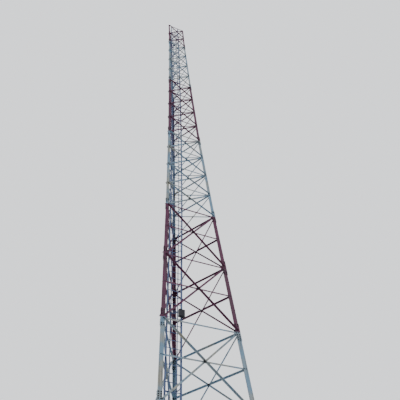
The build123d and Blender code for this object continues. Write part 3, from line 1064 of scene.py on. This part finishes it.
def hang_lights(scene):
    """A pale surround and two soft suns."""
    world = bpy.data.worlds.new("surround")
    world.use_nodes = True
    back = world.node_tree.nodes["Background"]
    back.inputs["Color"].default_value = (*scene.mast_colours.sky, 1.0)
    back.inputs["Strength"].default_value = SURROUND_STRENGTH
    scene.world = world
    for name, heading, height, strength, spread in SUNS:
        lamp = bpy.data.lights.new(name, "SUN")
        lamp.energy = strength
        lamp.angle = math.radians(spread)
        sun = bpy.data.objects.new(name, lamp)
        sun.rotation_euler = (math.radians(90.0 - height), 0.0, math.radians(heading))
        scene.collection.objects.link(sun)


def set_camera(scene):
    """The camera, from its heading clockwise from the y axis, its climb and its roll."""
    yaw, pitch, roll = np.radians(CAMERA_TURNS)
    level = np.array([np.sin(yaw), np.cos(yaw), 0.0]) * np.cos(pitch)
    ahead = level + (0.0, 0.0, np.sin(pitch))
    right = np.array([np.cos(yaw), -np.sin(yaw), 0.0])
    above = np.cross(right, ahead)
    tilted = np.cos(roll) * right + np.sin(roll) * above
    upright = -np.sin(roll) * right + np.cos(roll) * above
    spot = np.eye(4)
    spot[:3, :3] = np.stack([tilted, upright, -ahead], axis=1)
    spot[:3, 3] = CAMERA_SPOT
    lens = bpy.data.cameras.new("camera")
    lens.lens = CAMERA_LENS
    lens.sensor_width = CAMERA_SENSOR
    lens.clip_end = CAMERA_REACH
    camera = bpy.data.objects.new("camera", lens)
    camera.matrix_world = Matrix(spot.tolist())
    scene.collection.objects.link(camera)
    scene.camera = camera


class MAST_OT_set_stage(bpy.types.Operator):
    """Lay the floor, hang the lights and set the camera"""

    bl_idname = "mast.set_stage"
    bl_label = "Set Stage"

    def execute(self, context):
        lay_floor(context.scene)
        hang_lights(context.scene)
        set_camera(context.scene)
        return {"FINISHED"}


OPERATORS = (
    MAST_OT_paint_steelwork,
    MAST_OT_finish_ladder,
    MAST_OT_cover_joints,
    MAST_OT_plate_crossings,
    MAST_OT_bolt_panels,
    MAST_OT_bolt_splices,
    MAST_OT_anchor_feet,
    MAST_OT_join_rails,
    MAST_OT_fit_box,
    MAST_OT_bolt_ladder,
    MAST_OT_bolt_cage,
    MAST_OT_set_stage,
)


class MAST_PT_finish(bpy.types.Panel):
    """Sizes, colours and steps of the mast's finish"""

    bl_idname = "MAST_PT_finish"
    bl_label = "Radio Mast"
    bl_space_type = "VIEW_3D"
    bl_region_type = "UI"
    bl_category = "Mast"

    def draw(self, context):
        scene = context.scene
        for group in (scene.mast_sizes, scene.bolt_sizes, scene.mast_colours):
            box = self.layout.box()
            for name in group.__annotations__:
                box.prop(group, name)
        for operator in OPERATORS:
            self.layout.operator(operator.bl_idname)


CLASSES = (MastSizes, BoltSizes, MastColours, *OPERATORS, MAST_PT_finish)


def register():
    """Register the classes and hang the settings on the scene."""
    for cls in CLASSES:
        bpy.utils.register_class(cls)
    bpy.types.Scene.mast_sizes = bpy.props.PointerProperty(type=MastSizes)
    bpy.types.Scene.bolt_sizes = bpy.props.PointerProperty(type=BoltSizes)
    bpy.types.Scene.mast_colours = bpy.props.PointerProperty(type=MastColours)


def unregister():
    """Take the settings and the classes away again."""
    del bpy.types.Scene.mast_colours
    del bpy.types.Scene.bolt_sizes
    del bpy.types.Scene.mast_sizes
    for cls in reversed(CLASSES):
        bpy.utils.unregister_class(cls)


def main():
    """Dress the mast step by step."""
    register()
    for step in (
        bpy.ops.mast.paint_steelwork,
        bpy.ops.mast.finish_ladder,
        bpy.ops.mast.cover_joints,
        bpy.ops.mast.plate_crossings,
        bpy.ops.mast.bolt_panels,
        bpy.ops.mast.bolt_splices,
        bpy.ops.mast.anchor_feet,
        bpy.ops.mast.join_rails,
        bpy.ops.mast.fit_box,
        bpy.ops.mast.bolt_ladder,
        bpy.ops.mast.bolt_cage,
        bpy.ops.mast.set_stage,
    ):
        step()


if __name__ == "__main__":
    main()
